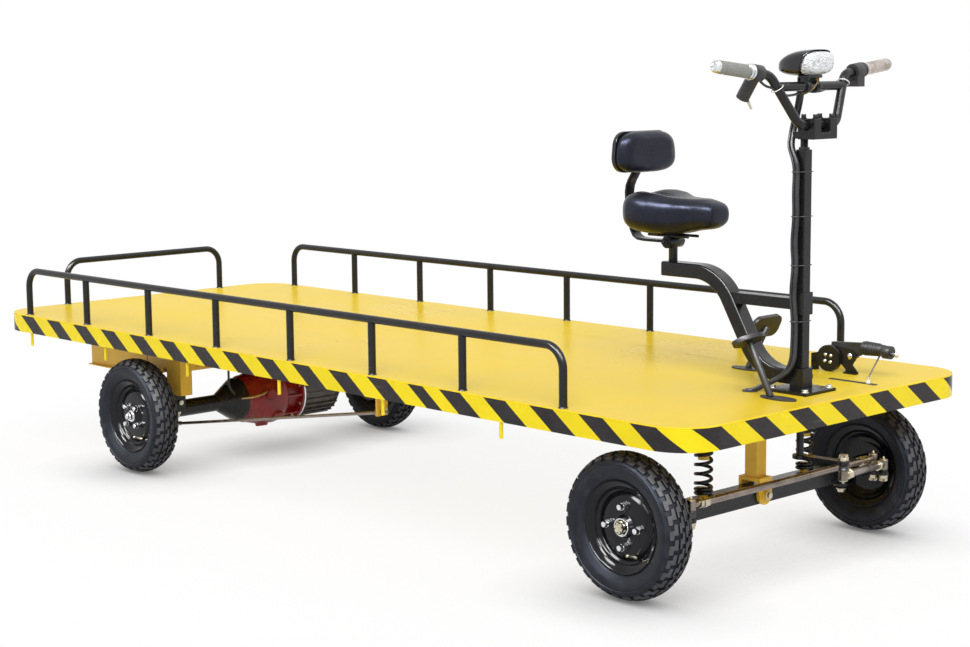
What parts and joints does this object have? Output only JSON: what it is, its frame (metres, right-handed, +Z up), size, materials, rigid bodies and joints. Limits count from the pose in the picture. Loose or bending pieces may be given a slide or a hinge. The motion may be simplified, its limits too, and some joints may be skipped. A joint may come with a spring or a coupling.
{
  "type": "electric platform cart",
  "caption": "Ride-on electric platform cart: flat yellow deck with hazard-striped skirt and low rails, saddle and handlebar at the front, pneumatic wheels.",
  "frame": {"origin": "on the ground under the middle of the deck", "axes": "+X forward, along the deck; +Y to the driver's left; +Z up"},
  "size_m": [3.202, 1.2, 1.3682],
  "materials": {
    "deck_paint": "gloss",
    "hazard_paint": "gloss",
    "frame_paint": "gloss",
    "black_paint": "satin",
    "rim_paint": "gloss",
    "red_paint": "gloss",
    "motor_case": "satin",
    "bare_steel": "satin",
    "nylon": "matte",
    "tyre_rubber": "matte",
    "seat_leather": "satin",
    "shell_plastic": "gloss",
    "black_plastic": "matte",
    "grip_rubber": "matte",
    "lens_clear": "gloss",
    "battery_case": "matte",
    "cable_jacket": "matte"
  },
  "bodies": {
    "chassis": {"deck_plate": "deck_paint", "deck_skirt": "hazard_paint", "frame_beams": "frame_paint", "rope_hooks": "hazard_paint", "side_rails": "black_paint", "rail_posts": "black_paint", "rear_rail": "black_paint", "rear_hangers": "frame_paint", "axle_saddles": "black_paint", "rear_axle": "black_paint", "gearbox": "red_paint", "drive_motor": "motor_case", "battery_cradle": "frame_paint", "battery_pack": "battery_case", "brake_rod": "bare_steel", "front_beam_axle": "black_paint", "beam_hanger": "frame_paint", "coil_springs": "black_paint", "column_base": "black_paint", "steering_column": "black_paint", "column_bushes": "nylon", "seat_frame": "black_paint", "seat_brace": "black_paint", "seat_post": "black_paint", "saddle": "seat_leather", "backrest_stay": "black_paint", "backrest_shell": "shell_plastic", "backrest_pad": "seat_leather", "pedal_plates": "black_plastic", "pedals": "black_plastic", "handbrake_bracket": "black_paint", "handbrake_lever": "black_plastic", "handbrake_rod": "bare_steel", "wiring_harness": "cable_jacket", "axle_cable": "cable_jacket"},
    "steering": {"steering_shaft": "black_paint", "bar_clamp": "black_paint", "handlebar": "black_paint", "grips": "grip_rubber", "switch_pods": "black_plastic", "headlamp_shell": "shell_plastic", "headlamp_lens": "lens_clear", "bar_loom": "cable_jacket"},
    "knuckle_right": {"knuckle_right": "black_paint"},
    "knuckle_left": {"knuckle_left": "black_paint"},
    "tie_rod": {"tie_rod": "bare_steel"},
    "drag_link": {"drag_link": "bare_steel"},
    "wheel_front_right": {"rim_front_right": "rim_paint", "tyre_front_right": "tyre_rubber"},
    "wheel_front_left": {"rim_front_left": "rim_paint", "tyre_front_left": "tyre_rubber"},
    "wheel_rear_right": {"rim_rear_right": "rim_paint", "tyre_rear_right": "tyre_rubber"},
    "wheel_rear_left": {"rim_rear_left": "rim_paint", "tyre_rear_left": "tyre_rubber"}
  },
  "joints": [
    {"name": "steer", "type": "hinge", "parent": "chassis", "child": "steering", "pos_m": [1.455, 0.025, 0.48], "axis": [0, 0, 1], "range_deg": [-30, 30]},
    {"name": "kingpin_right", "type": "hinge", "parent": "chassis", "child": "knuckle_right", "pos_m": [1.3275, -0.39, 0.19], "axis": [0, 0, 1], "range_deg": [-30, 30]},
    {"name": "kingpin_left", "type": "hinge", "parent": "chassis", "child": "knuckle_left", "pos_m": [1.3275, 0.39, 0.19], "axis": [0, 0, 1], "range_deg": [-30, 30]},
    {"name": "tie_rod_end", "type": "hinge", "parent": "knuckle_right", "child": "tie_rod", "pos_m": [1.4325, -0.39, 0.24], "axis": [0, 0, 1], "range_deg": [-30, 30]},
    {"name": "drag_link_end", "type": "hinge", "parent": "steering", "child": "drag_link", "pos_m": [1.586, 0.037, 0.272], "axis": [0, 0, 1], "range_deg": [-30, 30]},
    {"name": "wheel_front_right_spin", "type": "hinge", "parent": "knuckle_right", "child": "wheel_front_right", "pos_m": [1.3275, -0.5065, 0.19], "axis": [0, 1, 0], "continuous": true},
    {"name": "wheel_front_left_spin", "type": "hinge", "parent": "knuckle_left", "child": "wheel_front_left", "pos_m": [1.3275, 0.5065, 0.19], "axis": [0, 1, 0], "continuous": true},
    {"name": "wheel_rear_right_spin", "type": "hinge", "parent": "chassis", "child": "wheel_rear_right", "pos_m": [-0.848, -0.529, 0.19], "axis": [0, 1, 0], "continuous": true},
    {"name": "wheel_rear_left_spin", "type": "hinge", "parent": "chassis", "child": "wheel_rear_left", "pos_m": [-0.848, 0.529, 0.19], "axis": [0, 1, 0], "continuous": true}
  ],
  "couplings": [
    {"joint": "kingpin_right", "follows": "steer", "ratio": 1},
    {"joint": "kingpin_left", "follows": "steer", "ratio": 1},
    {"joint": "tie_rod_end", "follows": "steer", "ratio": -1},
    {"joint": "drag_link_end", "follows": "steer", "ratio": -1}
  ]
}
